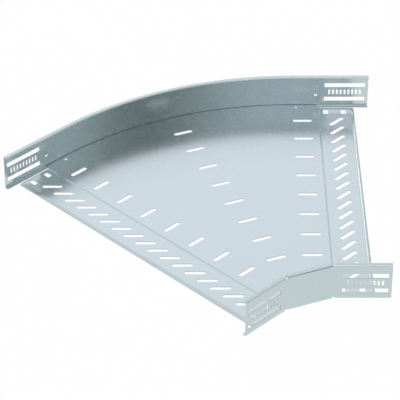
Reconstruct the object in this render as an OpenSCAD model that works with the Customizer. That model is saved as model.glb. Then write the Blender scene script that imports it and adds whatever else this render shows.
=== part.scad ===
// Horizontal bend for a perforated cable tray, folded from galvanised sheet steel.
// Three pieces: a slotted base plate with a lowered strip at each end, and two
// side walls of C-section whose straight ends are slotted coupling lugs.
// Millimetres. +Z is up and +X points out of the inlet. The origin lies on the
// floor, under the middle of the end edge of the inlet.

/* [Tray] */
// Width over both side walls
tray_w = 495.5; // [340:0.5:540]
// Height of the side walls, from the flange to the top of the rim
side_h = 56.25; // [54:0.25:110]
// Thickness of the sheet
sheet = 1.25; // [0.75:0.05:1.5]
// Inside radius of the folds
fold_r = 0.75; // [0.4:0.05:1]

/* [Bend] */
// Radius of the middle line of the tray
bend_r = 300; // [290:1:500]
// Angle between inlet and outlet
bend_angle = 45; // [30:1:60]
// From the start of the curve to the fold of the inner wall
inner_fold = 17; // [14:0.5:20]
// Radius of the outside of the outer wall's arc
outer_r = 500; // [440:1:530]

/* [Side walls] */
// Depth of the bottom flange, under the base plate
flange_d = 6; // [5:0.5:9]
// Width of the turned-in rim
rim_d = 7.6; // [6:0.1:9.5]
// Height of the rim, from its free edge to its top
rim_h = 3.6; // [3:0.1:6]
// Outside radius of the folds of the rim
rim_r = 1.8; // [1.6:0.1:2.5]
// Length of the straight coupling lugs, from the start of the curve
lug_l = 96.5; // [94:0.5:120]
// Gap that is cut out of flange and rim on each side of a fold
fold_relief = 2; // [1:0.25:4]
// Depth of the notch that this gap leaves in the upright sheet
fold_notch = 0.5; // [0.2:0.1:2]

/* [Base plate] */
// From the start of the curve to the end edge of the base
end_l = 75; // [72:1:92]
// From the start of the curve to the notched corners beside the walls
corner_x = 16.5; // [12:0.5:17]
// From the start of the curve to the crease of the end strip
crease_x = 18; // [17.5:0.5:20]
// Run of the sloping step at the crease
step_run = 2.5; // [1.5:0.25:4]
// Outside radius of the turned-down end edge
lip_r = 10; // [8:0.5:12]
// Height of the turned-down end edge
lip_h = 2.4; // [2:0.1:4]
// Gap between an end strip and the flanges of the lugs
strip_gap = 2.4; // [1:0.1:4]
// Gap between the edge of the base and the folds of the walls
plate_gap = 0.2; // [0.1:0.05:0.5]

/* [Slots in the base] */
// Length of a slot
slot_l = 30; // [20:1:34]
// Width of a slot
slot_w = 7; // [5:0.5:9]
// Pitch of the slots in a row
row_pitch = 50; // [40:1:60]
// From the start of the curve back to the first row
row_x = 7.4; // [4:0.2:10]
// Outward shift of the middle row
mid_row_shift = 3.9; // [0:0.1:10]
// Pitch of the slanted slots in an end strip
strip_pitch = 25; // [20:0.5:30]
// From the start of the curve to the middle of the slanted slots
strip_slot_x = 45.7; // [44:0.1:50]
// Slant of the slots in an end strip
strip_slot_a = 45; // [40:1:50]
// Free margin between a side wall and the middle of the nearest slot
slot_margin = 40; // [30:1:47]

/* [Holes beside the walls] */
// Size of a rectangular hole along the tray
rect_l = 8; // [5:0.5:10]
// Size of a rectangular hole across the tray
rect_w = 12; // [8:0.5:14]
// From the start of the curve to the first rectangular hole
rect_x1 = 30.3; // [29:0.1:34]
// From the start of the curve to the second rectangular hole
rect_x2 = 58.1; // [54:0.1:60]
// From a side wall to the middle of a rectangular hole
rect_inset = 19.75; // [18:0.25:24]
// Diameter of the round fixing hole
hole_d = 5; // [4:0.5:6]
// From the start of the curve back to the round fixing hole
hole_x = 16.1; // [12:0.1:24]

/* [Slots in the lugs] */
// Length of a long slot
long_l = 63.4; // [50:0.2:64]
// Height of a long slot
long_h = 7.6; // [6:0.1:9]
// From the start of the curve to the middle of the slots
lug_mid = 60.1; // [58:0.1:61]
// Height of the lower long slot above the flange
long_z = 13.3; // [11:0.1:14]
// Rise from the lower to the upper long slot
long_rise = 25; // [22:0.1:26]
// Width of a short upright slot
short_w = 3; // [2:0.1:4]
// Height of a short upright slot
short_h = 8.7; // [6:0.1:10]
// Pitch of the short upright slots
short_pitch = 6; // [5:0.1:6.5]
// Number of short upright slots in a lug
short_n = 9; // [5:2:9]

/* [Spring tongues] */
// From the start of the curve to the middle of a tongue
tongue_x = 15; // [12:0.1:18]
// Width of a tongue
tongue_w = 4.2; // [3:0.1:6]
// Width of the slit beside a tongue
tongue_slit = 0.25; // [0.2:0.05:1]
// Height of the free end of a tongue above the flange
tongue_z = 21.5; // [16:0.5:26]
// Length of a tongue
tongue_l = 18; // [12:0.5:20]
// Height of the window under a tongue
tongue_window = 3.2; // [2:0.1:5]

/* [Hidden] */
$fn = 64;
steel = [0.74, 0.79, 0.82];
// How far a cutter runs past the sheet
past = 1;
// Outside radius of the folds of the flange
fold_o = fold_r + sheet;
// Radius of the outside face of each side wall
r_out = bend_r + tray_w / 2;
r_in = bend_r - tray_w / 2;
// Centre of the outer wall's arc, seen from the inlet: ahead of the bend centre and behind
// the start of the curve
arc_y = r_out - outer_r;
outer_start = arc_y * tan(bend_angle / 2);
// Heights of the flanges and of the main plate; the end strips lie level with the flanges
flange_z = lip_h - sheet;
plate_z = lip_h;
// Half widths of the main plate and of the end strips
plate_half = tray_w / 2 - fold_o - plate_gap;
strip_half = tray_w / 2 - flange_d - strip_gap;
// Run of the turned-down end edge
lip_run = sqrt(lip_r * lip_r - (lip_r - lip_h) * (lip_r - lip_h));
// Mitre of the underside at the sloping step
step_mitre = sheet * tan(atan(sheet / step_run) / 2);
// Slots on each side of the middle line
row_side = floor((tray_w / 2 - slot_margin) / row_pitch);
strip_side = floor((tray_w / 2 - slot_margin) / strip_pitch);
short_side = (short_n - 1) / 2;
// The middle facet of the inner wall: its distance from the bend centre, half its length
// from fold to fold, and half the length of its flange and rim
facet_r = r_in * cos(bend_angle / 2) - inner_fold * sin(bend_angle / 2);
facet_half = inner_fold * cos(bend_angle / 2) + r_in * sin(bend_angle / 2);
facet_run = facet_half - fold_relief;
// The lugs of the inner wall have flange and rim from here on
lug_start = inner_fold + fold_relief;
// How far the two sheets that meet at a fold run past it into each other
fold_lap = fold_relief / 2;
// Longer than any way across the part
reach = 2 * r_out;
// The round fixing hole lies clear of the flange, on the straight part or on the arc
hole_r = outer_r - flange_d - hole_d / 2 - plate_gap;
hole_turn = max(0, hole_x - outer_start);
hole_y = arc_y + sqrt(hole_r * hole_r - hole_turn * hole_turn);

// Puts a shape that is drawn about the bend centre, with the middle of the bend
// along +Y, in its place behind the inlet
module from_bend_centre() {
  translate([-end_l, -bend_r, 0]) rotate(bend_angle / 2) children();
}

// A shape drawn about the bend centre and its mirror image
module both_sides() {
  for (side = [0, 1])
    mirror([side, 0, 0]) children();
}

// A feature drawn at the inlet, where +X points out of the tray, and the same at the outlet
module both_ends() {
  both_sides() rotate(-bend_angle / 2) children();
}

// A piece drawn from the inlet to past the middle of the bend, cut off there and mirrored
module both_halves() {
  both_ends() intersection() {
    children();
    rotate(bend_angle / 2) translate([0, -reach, -past])
      cube([reach, 2 * reach, flange_z + side_h + 2 * past]);
  }
}

// Plan of a quarter of the ground, behind and below its corner at the origin
module quarter_plan() {
  translate([-reach, -reach]) square(reach);
}

// A quarter of a folded corner of the sheet, turned by quarter turns
module fold_corner(outside, quarter) {
  intersection() {
    difference() {
      circle(r = outside);
      circle(r = outside - sheet);
    }
    rotate(90 * quarter) square(outside);
  }
}

// Slot with round ends, along X
module round_slot(length, width) {
  square([length - width, width], center = true);
  for (side = [-1, 1])
    translate([side * (length - width) / 2, 0]) circle(d = width);
}

// Section of the wall's bottom flange and turned-in rim: X inwards, Y up
module flange_and_rim() {
  translate([fold_o, fold_o]) fold_corner(fold_o, 2);
  translate([fold_o, 0]) square([flange_d - fold_o, sheet]);
  translate([rim_r, side_h - rim_r]) fold_corner(rim_r, 1);
  translate([rim_r, side_h - sheet]) square([rim_d - 2 * rim_r, sheet]);
  translate([rim_d - rim_r, side_h - rim_r]) fold_corner(rim_r, 0);
  translate([rim_d - sheet, side_h - rim_h]) square([sheet, rim_h - rim_r]);
}

// Section of the upright sheet between fold and rim
module flat_sheet() {
  translate([0, fold_o]) square([sheet, side_h - fold_o - rim_r]);
}

// Full C-section of a side wall
module wall_section() {
  flat_sheet();
  flange_and_rim();
}

// Extrudes a section along +X with its own X towards +Y
module run_along_x(length) {
  rotate([90, 0, 90]) linear_extrude(length) children();
}

// Cutters for the slots of an inlet lug whose middle lies at a given radius
module lug_slots(radius) {
  depth = 2 * (sheet + past);
  translate([lug_mid, radius, flange_z + long_z]) {
    for (rise = [0, long_rise])
      translate([0, 0, rise]) cube([long_l, depth, long_h], center = true);
    for (i = [-short_side : short_side])
      translate([i * short_pitch, 0, long_rise / 2])
        cube([short_w, depth, short_h], center = true);
  }
}

// Cutters for a spring tongue that hangs free above its window
module tongue_cut(radius) {
  depth = 2 * (sheet + past);
  translate([tongue_x, radius, flange_z + tongue_z]) {
    for (side = [-1, 1])
      translate([side * (tongue_w + tongue_slit) / 2, 0, tongue_l / 2])
        cube([tongue_slit, depth, tongue_l], center = true);
    translate([0, 0, -tongue_window / 2])
      cube([tongue_w + 2 * tongue_slit, depth, tongue_window], center = true);
  }
}

// Outline of the main plate, up to the notched corners at both ends
module plate_outline() {
  inner_gap = fold_o + plate_gap;
  difference() {
    both_sides() intersection() {
      rotate(-bend_angle / 2) translate([-outer_start, arc_y]) {
        intersection() {
          circle(r = outer_r - inner_gap);
          translate([0, outer_r]) quarter_plan();
        }
        translate([0, outer_r - inner_gap]) mirror([0, 1])
          square([outer_start + corner_x, bend_r + plate_half]);
      }
      translate([0, -reach]) square([reach, 2 * reach]);
    }
    intersection() {
      translate([reach / 2, facet_r + inner_gap]) quarter_plan();
      intersection_for (side = [0, 1])
        mirror([side, 0, 0]) rotate(-bend_angle / 2)
          translate([lug_l, r_in + inner_gap]) quarter_plan();
    }
  }
}

// Section along an end strip from the start of the curve: a stretch of the main plate,
// the sloping step, the flat strip and the turned-down edge
module strip_section() {
  plate_top = plate_z + sheet;
  step_end = crease_x + step_run;
  polygon([
    [0, plate_z], [0, plate_top], [crease_x, plate_top], [step_end, plate_z],
    [end_l - lip_run, plate_z], [end_l - lip_run, flange_z],
    [step_end - step_mitre, flange_z], [crease_x - step_mitre, plate_z]
  ]);
  intersection() {
    translate([end_l - lip_run, lip_h - lip_r]) fold_corner(lip_r, 0);
    translate([end_l - lip_run, 0]) square([lip_r, lip_h]);
  }
}

module end_strip() {
  translate([0, bend_r + strip_half, 0])
    rotate([90, 0, 0]) linear_extrude(2 * strip_half) strip_section();
}

// Plan of the slots and holes of one end
module end_holes() {
  for (i = [-row_side : row_side])
    translate([-row_x, bend_r + i * row_pitch]) round_slot(slot_l, slot_w);
  for (i = [-strip_side : strip_side])
    translate([strip_slot_x, bend_r + i * strip_pitch])
      rotate(strip_slot_a) round_slot(slot_l, slot_w);
  for (x = [rect_x1, rect_x2], side = [-1, 1])
    translate([x, bend_r + side * (tray_w / 2 - rect_inset)])
      square([rect_l, rect_w], center = true);
}

module middle_row() {
  for (i = [-row_side : row_side])
    translate([0, bend_r + mid_row_shift + i * row_pitch]) round_slot(slot_l, slot_w);
}

module base_plate() {
  color(steel) from_bend_centre() difference() {
    union() {
      rotate(-bend_angle / 2) translate([0, 0, plate_z]) linear_extrude(sheet)
        rotate(bend_angle / 2) plate_outline();
      both_ends() end_strip();
    }
    translate([0, 0, -past]) linear_extrude(plate_z + sheet + 2 * past) {
      both_ends() end_holes();
      middle_row();
    }
    both_ends() translate([-hole_x, hole_y, plate_z - past])
      cylinder(d = hole_d, h = sheet + 2 * past);
  }
}

module outer_side_wall() {
  color(steel) from_bend_centre() both_halves() translate([0, arc_y, 0]) difference() {
    translate([-outer_start, 0, flange_z]) {
      rotate(90) rotate_extrude(angle = bend_angle)
        translate([outer_r, 0]) mirror([1, 0]) wall_section();
      translate([0, outer_r, 0]) mirror([0, 1, 0])
        run_along_x(outer_start + lug_l) wall_section();
    }
    lug_slots(outer_r - sheet / 2);
    tongue_cut(outer_r - sheet / 2);
  }
}

// Cutters for the notches above and below the folds of the inner wall
module fold_notches() {
  both_sides() for (edge = [[0, fold_o], [side_h, rim_r]])
    translate([facet_half, facet_r, flange_z + edge[0]]) rotate(-bend_angle / 4)
      cube([3 * fold_lap, 4 * sheet, 2 * (edge[1] + fold_notch)], center = true);
}

// Middle of the inner wall, up to the inside faces of its lugs
module inner_facet() {
  lap_half = facet_half + fold_lap;
  difference() {
    union() {
      translate([-lap_half, facet_r, flange_z]) run_along_x(2 * lap_half) flat_sheet();
      translate([-facet_run, facet_r, flange_z]) run_along_x(2 * facet_run) flange_and_rim();
    }
    both_ends() translate([inner_fold - fold_lap, r_in, flange_z])
      translate([0, sheet, 0]) cube([3 * fold_lap, 2 * sheet, side_h]);
    fold_notches();
  }
}

// Lugs of the inner wall, up to the inside face of its middle
module inner_lugs() {
  lap_start = inner_fold - fold_lap;
  difference() {
    both_ends() difference() {
      union() {
        translate([lap_start, r_in, flange_z]) run_along_x(lug_l - lap_start) flat_sheet();
        translate([lug_start, r_in, flange_z]) run_along_x(lug_l - lug_start) flange_and_rim();
      }
      lug_slots(r_in + sheet / 2);
    }
    both_sides() translate([facet_half - 2 * fold_lap, facet_r, flange_z])
      translate([0, sheet, 0]) cube([3 * fold_lap, 2 * sheet, side_h]);
    fold_notches();
  }
}

module inner_side_wall() {
  color(steel) from_bend_centre() {
    inner_facet();
    inner_lugs();
  }
}

base_plate();
outer_side_wall();
inner_side_wall();
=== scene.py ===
# %% [markdown]
# A bend for a perforated cable tray, folded from zinc-coated sheet steel. Its
# three sheets come from the CAD frame with every slot, fold and rim in place.
# What is left for Blender is what the eye reads as metal: even shading on the
# bent sheet, the zinc's crystals and rolling marks, the bare sheared edges, and
# a studio for the metal to mirror.

# %% Load the frame
import math

import bmesh
import bpy
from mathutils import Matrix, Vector

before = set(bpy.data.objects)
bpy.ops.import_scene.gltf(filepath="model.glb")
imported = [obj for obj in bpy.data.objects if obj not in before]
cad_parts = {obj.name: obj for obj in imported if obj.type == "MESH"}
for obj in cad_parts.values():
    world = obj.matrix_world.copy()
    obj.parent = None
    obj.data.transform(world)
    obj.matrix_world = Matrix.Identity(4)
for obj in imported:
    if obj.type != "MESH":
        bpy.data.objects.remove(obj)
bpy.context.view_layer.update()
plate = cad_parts["base_plate"]
outer_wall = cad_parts["outer_side_wall"]
inner_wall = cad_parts["inner_side_wall"]
scene = bpy.context.scene
scene.view_settings.view_transform = "Standard"
for sheet in (plate, outer_wall, inner_wall):
    print(sheet.name, len(sheet.data.polygons), "triangles")

# %% [markdown]
# The camera comes early, because every later choice is judged through it. The
# photograph is a long-lens product shot from the front at 35 degrees. The place
# and the lens were found by fitting the known pitch of the slots to the picture,
# so the camera is written as a target, a distance and a height angle.

# %% Set the camera
TARGET = Vector((-0.24165, -0.0144, 0.0030))
DISTANCE = 2.984
HEIGHT_ANGLE = math.radians(35.04)
LENS_PER_WIDTH = 2029 / 400

lens = bpy.data.cameras.new("camera")
lens.sensor_width = 36
lens.lens = LENS_PER_WIDTH * lens.sensor_width
camera = bpy.data.objects.new("camera", lens)
away = Vector((0, -math.cos(HEIGHT_ANGLE), math.sin(HEIGHT_ANGLE)))
camera.location = TARGET + DISTANCE * away
camera.rotation_euler = (math.pi / 2 - HEIGHT_ANGLE, 0, 0)
scene.collection.objects.link(camera)
scene.camera = camera
print("camera at", [round(c, 3) for c in camera.location], "lens", round(lens.lens, 1))

# %% [markdown]
# The sheets arrive as loose triangles, so the arc of the outer wall would show
# as flat strips, and polished metal makes each of them plain to see. A modifier
# can join the triangles without touching the mesh itself: merge what lies at one
# place, shade smoothly, and keep an edge sharp where two faces meet at a clear
# angle. Geometry nodes do this in four steps.

# %% Build the even shading
SAME_PLACE = 1e-5
SHARP_ANGLE = math.radians(22)


def even_shading_group():
    group = bpy.data.node_groups.new("even_shading", "GeometryNodeTree")
    for way in ("INPUT", "OUTPUT"):
        group.interface.new_socket(
            "Geometry", in_out=way, socket_type="NodeSocketGeometry"
        )
    start = group.nodes.new("NodeGroupInput")
    end = group.nodes.new("NodeGroupOutput")
    merge = group.nodes.new("GeometryNodeMergeByDistance")
    merge.inputs["Distance"].default_value = SAME_PLACE
    smooth = group.nodes.new("GeometryNodeSetShadeSmooth")
    angle = group.nodes.new("GeometryNodeInputMeshEdgeAngle")
    sharp = group.nodes.new("FunctionNodeCompare")
    sharp.operation = "GREATER_THAN"
    sharp.inputs["B"].default_value = SHARP_ANGLE
    crease = group.nodes.new("GeometryNodeSetShadeSmooth")
    crease.domain = "EDGE"
    crease.inputs["Shade Smooth"].default_value = False
    for source, target in (
        (start.outputs["Geometry"], merge.inputs["Geometry"]),
        (merge.outputs["Geometry"], smooth.inputs["Geometry"]),
        (smooth.outputs["Geometry"], crease.inputs["Geometry"]),
        (angle.outputs["Unsigned Angle"], sharp.inputs["A"]),
        (sharp.outputs["Result"], crease.inputs["Selection"]),
        (crease.outputs["Geometry"], end.inputs["Geometry"]),
    ):
        group.links.new(source, target)
    return group


even_shading = even_shading_group()
print("even shading has", len(even_shading.nodes), "nodes")

# %% [markdown]
# A second modifier weighs each face by its area, so the broad flat sheets stay
# flat right up to their narrow folds. Without it the shading would lean over
# towards every fold, and the plate would look dented there.

# %% Shade the sheets evenly
for sheet in (plate, outer_wall, inner_wall):
    join = sheet.modifiers.new("even_shading", "NODES")
    join.node_group = even_shading
    flat = sheet.modifiers.new("flat_stays_flat", "WEIGHTED_NORMAL")
    flat.mode = "FACE_AREA"
    flat.weight = 100
    flat.keep_sharp = True
    print(sheet.name, "modifiers", [m.name for m in sheet.modifiers])

# %% [markdown]
# Shader maths is easier to follow as sums than as a web of nodes. One small class
# wraps the output of a node, so that 1 - mask or grain * 0.3 adds the Math nodes
# by itself, and one method makes every other node from its type, its settings and
# what goes into its sockets.

# %% Wrap a socket for shader maths


class Wire:
    """One output of a shader node, which sums and products can be written on."""

    def __init__(self, socket):
        self.socket = socket
        self.tree = socket.id_data

    @classmethod
    def node(cls, tree, kind, settings=None, sockets=None, out=0):
        made = tree.nodes.new("ShaderNode" + kind)
        for name, value in (settings or {}).items():
            setattr(made, name, value)
        for name, value in (sockets or {}).items():
            if isinstance(value, Wire):
                tree.links.new(value.socket, made.inputs[name])
            else:
                made.inputs[name].default_value = value
        return cls(made.outputs[out])

    def maths(self, operation, *values):
        return Wire.node(
            self.tree, "Math", {"operation": operation}, dict(enumerate(values))
        )

    def __add__(self, other):
        return self.maths("ADD", self, other)

    def __sub__(self, other):
        return self.maths("SUBTRACT", self, other)

    def __rsub__(self, other):
        return self.maths("SUBTRACT", other, self)

    def __mul__(self, other):
        return self.maths("MULTIPLY", self, other)

    def __abs__(self):
        return self.maths("ABSOLUTE", self)

    __radd__ = __add__
    __rmul__ = __mul__

    def step(self, low, high):
        """0 below low, 1 above high, and a smooth rise between them."""
        return Wire.node(
            self.tree,
            "MapRange",
            {"interpolation_type": "SMOOTHSTEP"},
            {"Value": self, "From Min": low, "From Max": high},
        )


def blend_colours(share, first, second):
    return Wire.node(
        share.tree,
        "Mix",
        {"data_type": "RGBA"},
        {0: share, 6: first, 7: second},
        out=2,
    )


print("operators ready:", [n for n in vars(Wire) if n.startswith("__r")])

# %% [markdown]
# Strip-galvanised sheet is steel that ran through molten zinc before it was cut.
# The zinc freezes in crystals a few millimetres across, which the skin-pass roll
# flattens until they are only just seen. A Voronoi pattern gives one tone to each
# crystal. Real borders are feathered like frost, so a fine noise first pushes the
# coordinates about by a millimetre or so.

# %% Grow the zinc crystals
CRYSTALS_PER_M = 190
FEATHERS_PER_M = CRYSTALS_PER_M * 1.7
FEATHER = 0.0016


def crystal_tones(tree, place):
    wander = Wire.node(
        tree,
        "TexNoise",
        None,
        {"Vector": place, "Scale": FEATHERS_PER_M, "Detail": 4.0},
        out="Color",
    )
    shift = Wire.node(
        tree,
        "VectorMath",
        {"operation": "MULTIPLY_ADD"},
        {0: wander, 1: (FEATHER,) * 3, 2: place},
    )
    crystal = Wire.node(
        tree,
        "TexVoronoi",
        None,
        {"Vector": shift, "Scale": CRYSTALS_PER_M, "Randomness": 1.0},
        out="Color",
    )
    return Wire.node(tree, "SeparateColor", None, {"Color": crystal})


print("crystals about", round(1000 / CRYSTALS_PER_M, 1), "mm across")

# %% [markdown]
# Rolling leaves fine marks along one direction, and stacking and handling leave a
# few thin scuffs along it. Both come from noise on coordinates that are squeezed
# along the marks: the marks from the noise itself, and a scuff from the thin line
# where a coarser noise passes its middle value, kept only in some patches. A Mapping
# node of type Texture turns first and squeezes after, so the marks follow the turn.

# %% Roll the marks and scuffs
MARKS_PER_M = 900
MARK_STRETCH = 60
SCUFFS_PER_M = 208
SCUFF_WIDTH = (0.004, 0.014)
PATCHES_PER_M = 26
PATCH_EDGE = (0.60, 0.70)


def noise(tree, place, scale, detail):
    return Wire.node(
        tree,
        "TexNoise",
        None,
        {"Vector": place, "Scale": scale, "Detail": detail},
    )


def marks_and_scuffs(tree, place, along, stretch):
    rolled = Wire.node(
        tree,
        "Mapping",
        {"vector_type": "TEXTURE"},
        {"Vector": place, "Rotation": (0, 0, along), "Scale": stretch},
    )
    marks = noise(tree, rolled, MARKS_PER_M, detail=2.0)
    line = abs(noise(tree, rolled, SCUFFS_PER_M, detail=1.0) - 0.5)
    patch = noise(tree, place, PATCHES_PER_M, detail=1.0).step(*PATCH_EDGE)
    return marks, (1 - line.step(*SCUFF_WIDTH)) * patch


print("marks", round(1000 / MARKS_PER_M, 1), "mm apart,", MARK_STRETCH, "times as long")

# %% [markdown]
# Painting all this as one grey would look like plastic, so the finish is built up
# as the sheet was: the crystals, the rolling marks, a fine grain too small to see
# singly, the cloudy film of handling, and the scuffs. Each changes colour and
# roughness by little, because the sheet's look comes from what it mirrors. Where
# bare_mask finds a sheared edge, bare steel takes the place of the zinc.

# %% Put the zinc finish together
GRAINS_PER_M = 2600
CLOUDS_PER_M = 9
TONE_LEVEL = 0.23
TONE = {"crystals": 0.07, "marks": 0.07, "clouds": 0.40}
ROUGH = {"crystals": 0.03, "marks": 0.04, "grain": 0.20, "clouds": 0.12}
SCUFF_ROUGH = 0.10
BARE_ROUGH = 0.12
RELIEF = {"crystals": 0.5, "marks": 0.8, "scuffs": 0.6}
ZINC_BUMP = 0.00001
BUMP_STRENGTH = 0.35


def zinc_finish(name, pale, deep, bare, along, stretch, roughness, bare_mask):
    material = bpy.data.materials.new(name)
    material.use_nodes = True
    tree = material.node_tree
    place = Wire.node(tree, "TexCoord", out="Object")
    crystals = crystal_tones(tree, place)
    marks, scuffs = marks_and_scuffs(tree, place, along, stretch)
    grain = noise(tree, place, GRAINS_PER_M, detail=0.0)
    clouds = noise(tree, place, CLOUDS_PER_M, detail=5.0)
    bare_edge = bare_mask(tree, place)

    tone = (
        TONE["crystals"] * crystals
        + TONE["marks"] * marks
        + TONE["clouds"] * clouds
        + TONE_LEVEL
    )
    colour = blend_colours(bare_edge, blend_colours(tone, deep, pale), bare)
    rough = (
        roughness
        + ROUGH["crystals"] * (crystals - 0.5)
        + ROUGH["marks"] * (marks - 0.5)
        + ROUGH["grain"] * (grain - 0.5)
        + ROUGH["clouds"] * (clouds - 0.5)
        + SCUFF_ROUGH * scuffs
        + BARE_ROUGH * bare_edge
    )
    relief = (
        RELIEF["crystals"] * crystals
        + RELIEF["marks"] * marks
        - RELIEF["scuffs"] * scuffs
    )
    bump = Wire.node(
        tree,
        "Bump",
        None,
        {"Height": relief, "Strength": BUMP_STRENGTH, "Distance": ZINC_BUMP},
    )
    shader = tree.nodes["Principled BSDF"]
    shader.inputs["Metallic"].default_value = 1.0
    for socket, wire in (("Base Color", colour), ("Roughness", rough), ("Normal", bump)):
        tree.links.new(wire.socket, shader.inputs[socket])
    print(name, "has", len(tree.nodes), "nodes")
    return material


# %% [markdown]
# Where the punch or the shear went through, the zinc stops and the steel's own
# edge shows: darker, duller and a touch warmer. In the plate those edges are the
# upright faces at the level of the sheet, and in the walls they are the level
# faces between flange and rim, above and below the slots. Both can be told by the
# direction of the face and its height, so no extra mesh or painted map is needed.

# %% Find the sheared edges
PLATE_EDGE_Z = 0.0011
WALL_EDGE_Z = (0.0054, 0.0514)
EDGE_FADE = 1e-4
UPRIGHT_FACE = (0.1, 0.3)
LEVEL_FACE = (0.8, 0.95)


def height_and_lift(tree, place):
    level = Wire.node(tree, "SeparateXYZ", None, {0: place}, out="Z")
    facing = Wire.node(tree, "NewGeometry", out="True Normal")
    lift = Wire.node(tree, "SeparateXYZ", None, {0: facing}, out="Z")
    return level, abs(lift)


def plate_edges(tree, place):
    level, lift = height_and_lift(tree, place)
    above = level.step(PLATE_EDGE_Z - EDGE_FADE, PLATE_EDGE_Z)
    return (1 - lift.step(*UPRIGHT_FACE)) * above


def wall_edges(tree, place):
    level, lift = height_and_lift(tree, place)
    low, high = WALL_EDGE_Z
    above = level.step(low - EDGE_FADE, low)
    below = 1 - level.step(high, high + EDGE_FADE)
    return lift.step(*LEVEL_FACE) * (above * below)


print("sheared edges: plate from", PLATE_EDGE_Z, "m, walls between", WALL_EDGE_Z, "m")

# %% [markdown]
# The plate and the walls are cut from different coils, and the plate is the
# brighter of the two. The plate's rolling marks run square to the middle of the
# bend. A wall's marks run along its strip, which is level all the way round, so
# there the pattern is stretched along X and Y alike, and only Z stays fine.

# %% Give the sheets their finish
HALF_BEND = math.radians(22.5)

plate_zinc = zinc_finish(
    "plate_zinc",
    pale=(0.70, 0.775, 0.82, 1),
    deep=(0.52, 0.60, 0.66, 1),
    bare=(0.50, 0.53, 0.55, 1),
    along=HALF_BEND,
    stretch=(MARK_STRETCH, 1, 1),
    roughness=0.265,
    bare_mask=plate_edges,
)
wall_zinc = zinc_finish(
    "wall_zinc",
    pale=(0.618, 0.708, 0.740, 1),
    deep=(0.467, 0.544, 0.575, 1),
    bare=(0.48, 0.51, 0.53, 1),
    along=0,
    stretch=(MARK_STRETCH, MARK_STRETCH, 1),
    roughness=0.25,
    bare_mask=wall_edges,
)
for sheet, zinc in (
    (plate, plate_zinc),
    (outer_wall, wall_zinc),
    (inner_wall, wall_zinc),
):
    for slot in sheet.material_slots:
        slot.material = zinc
    print(sheet.name, "wears", zinc.name)

# %% [markdown]
# Metal shows its surroundings, so the studio is half of its look. The floor is
# a plain pale plane. Cameras and mirrors see it as white, as the paper sweep in a
# product shot is, while a small share of it takes light as matt paper does, so that
# the tray still throws its soft shadow.

# %% Lay the floor
FLOOR_HALF = 12
PAPER_WHITE = (0.85, 0.85, 0.85, 1)
PAPER_ROUGHNESS = 0.9

floor_mesh = bpy.data.meshes.new("floor")
sweep = bmesh.new()
bmesh.ops.create_grid(sweep, x_segments=1, y_segments=1, size=FLOOR_HALF)
sweep.to_mesh(floor_mesh)
sweep.free()
floor = bpy.data.objects.new("floor", floor_mesh)
scene.collection.objects.link(floor)

paper = bpy.data.materials.new("paper_floor")
paper.use_nodes = True
matt = paper.node_tree.nodes["Principled BSDF"]
matt.inputs["Base Color"].default_value = PAPER_WHITE
matt.inputs["Roughness"].default_value = PAPER_ROUGHNESS
floor_mesh.materials.append(paper)
print("floor", FLOOR_HALF * 2, "m wide")

# %% [markdown]
# A ray that comes from the camera, from a mirror or through glass sees the paper as
# white. A ray that gathers light for something matt sees plain paper, so the floor
# doesn't light the room twice.

# %% Whiten the floor for cameras and mirrors
WHITE_SHARE = 0.98

tree = paper.node_tree
ray = tree.nodes.new("ShaderNodeLightPath")
kinds = (
    Wire(ray.outputs["Is Camera Ray"])
    + Wire(ray.outputs["Is Glossy Ray"])
    + Wire(ray.outputs["Is Transmission Ray"])
)
share = WHITE_SHARE * kinds.maths("MINIMUM", kinds, 1.0)
white = Wire.node(tree, "Emission", None, {"Color": (1, 1, 1, 1), "Strength": 1.0})
both = Wire.node(
    tree, "MixShader", None, {0: share, 1: Wire(matt.outputs[0]), 2: white}
)
tree.links.new(both.socket, tree.nodes["Material Output"].inputs["Surface"])
print("white share of the paper", WHITE_SHARE)

# %% [markdown]
# The light is a pale room and one broad soft lamp. The lamp stands behind the tray,
# where the level plate mirrors it: that alone lifts the plate above its creases,
# rims and turned-down edges, which mirror the dimmer room beside it. The lamp is a
# little cooler than the room, so the plate comes out bluer than the walls.

# %% Light the room
ROOM = 0.86
ROOM_COLOUR = (0.98, 0.99, 0.965, 1)
MIDDLE = Vector((-0.24, 0, 0))


def soft_lamp(name, size, watts, place, aim, colour=(1, 1, 1)):
    light = bpy.data.lights.new(name, "AREA")
    light.shape = "RECTANGLE"
    light.size, light.size_y = size
    light.energy = watts
    light.color = colour
    lamp = bpy.data.objects.new(name, light)
    lamp.location = place
    lamp.rotation_euler = (aim - lamp.location).to_track_quat("-Z", "Y").to_euler()
    scene.collection.objects.link(lamp)
    print(name, watts, "W")


room = bpy.data.worlds.new("room")
room.use_nodes = True
background = room.node_tree.nodes["Background"]
background.inputs["Color"].default_value = ROOM_COLOUR
background.inputs["Strength"].default_value = ROOM
scene.world = room
soft_lamp(
    "softbox",
    size=(2.2, 2.2),
    watts=3.2,
    place=Vector((-0.75, 2.4, 1.10)),
    aim=MIDDLE,
    colour=(1.0, 1.0, 1.15),
)

# %% [markdown]
# The turned-down edge of the inlet carries a thin bright line, which the broad lamp
# can't give: the edge faces aside. A small second lamp stands behind the tray at
# the right, where only that edge mirrors it.
#
# The shoulders of the rims are round, so they mirror what no flat sheet does. A
# third lamp hangs high in front of the tray, and where a rim runs across the
# picture, its shoulder shows that lamp as a thin light line.

# %% Light the edges and shoulders
INLET_EDGE = Vector((0, 0, 0))

soft_lamp(
    "edge_light",
    size=(0.40, 0.40),
    watts=0.85,
    place=Vector((0.99, 2.12, 1.14)),
    aim=INLET_EDGE,
)
soft_lamp(
    "top_light",
    size=(0.7, 0.7),
    watts=3.2,
    place=Vector((0.2, -1.12, 2.345)),
    aim=INLET_EDGE,
)

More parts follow.
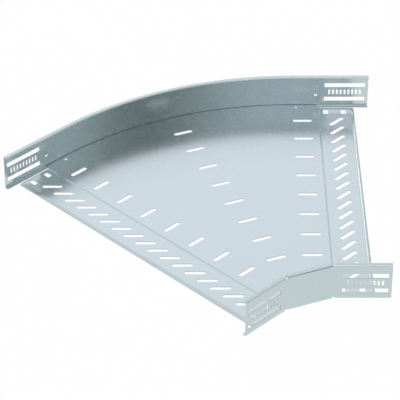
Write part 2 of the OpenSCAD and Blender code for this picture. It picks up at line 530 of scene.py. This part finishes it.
# %% [markdown]
# In a room that is white all round the outer wall would be as bright as the plate.
# In the photograph it darkens along the curve, deepest before its left end, which is
# how a photographer shapes metal: a grey cloth hangs to the front and right, out of
# the picture, and the wall mirrors it by way of the plate. The cloth and the card
# that follows are flat sheets which only mirrors see.

# %% Hang the grey cloth
CLOTH_SIZE = (2.6, 2.6)
CLOTH_TURN = math.radians(-30)
CLOTH_LIFT = math.radians(37)
CLOTH_DISTANCE = 2.6


def hang(name, size, place):
    mesh = bpy.data.meshes.new(name)
    grid = bmesh.new()
    bmesh.ops.create_grid(grid, x_segments=1, y_segments=1, size=0.5)
    bmesh.ops.scale(grid, vec=(*size, 1), verts=grid.verts)
    grid.to_mesh(mesh)
    grid.free()
    hung = bpy.data.objects.new(name, mesh)
    hung.location = place
    hung.rotation_euler = (place - MIDDLE).to_track_quat("Z", "Y").to_euler()
    hung.visible_camera = False
    hung.visible_shadow = False
    scene.collection.objects.link(hung)
    print(name, "at", [round(c, 2) for c in hung.location])
    return hung


toward = Vector((
    math.cos(CLOTH_LIFT) * math.cos(CLOTH_TURN),
    math.cos(CLOTH_LIFT) * math.sin(CLOTH_TURN),
    math.sin(CLOTH_LIFT),
))
cloth = hang("grey_cloth", CLOTH_SIZE, MIDDLE + CLOTH_DISTANCE * toward)

# %% [markdown]
# The cloth is darkest in its middle. It fades slowly to one side and quickly to the
# other, and the wall, which mirrors it along the curve, fades the same way.

# %% Shade the cloth
CLOTH_PALE = (0.93, 0.95, 0.91, 1)
CLOTH_DEEP = (0.27, 0.28, 0.25, 1)
SLOW_FADE = (-1.3, -0.46)
QUICK_FADE = (0.30, 0.60)

felt = bpy.data.materials.new("grey_felt")
felt.use_nodes = True
tree = felt.node_tree
place = Wire.node(tree, "TexCoord", out="Object")
across = Wire.node(tree, "SeparateXYZ", None, {0: place}, out="X")
depth = across.step(*SLOW_FADE) * (1 - across.step(*QUICK_FADE))
shade = blend_colours(depth, CLOTH_PALE, CLOTH_DEEP)
tree.links.new(shade.socket, tree.nodes["Principled BSDF"].inputs["Base Color"])
cloth.data.materials.append(felt)
print("cloth from", CLOTH_PALE[:3], "to", CLOTH_DEEP[:3])

# %% [markdown]
# The creases before the end strips are only one sheet high, and in a white room they
# would be lost. A pale grey card stands low at the right, under the small lamp, so
# that the sloping face of the inlet's crease and the foot of its turned-down edge
# mirror it as thin dark lines.

# %% Stand a card under the small lamp
CARD_SIZE = (1.3, 0.85)
CARD_PLACE = Vector((1.41, 2.12, 0.50))
CARD_GREY = (0.75, 0.76, 0.75, 1)

card = hang("grey_card", CARD_SIZE, CARD_PLACE)
board = bpy.data.materials.new("grey_board")
board.use_nodes = True
board.node_tree.nodes["Principled BSDF"].inputs["Base Color"].default_value = CARD_GREY
card.data.materials.append(board)
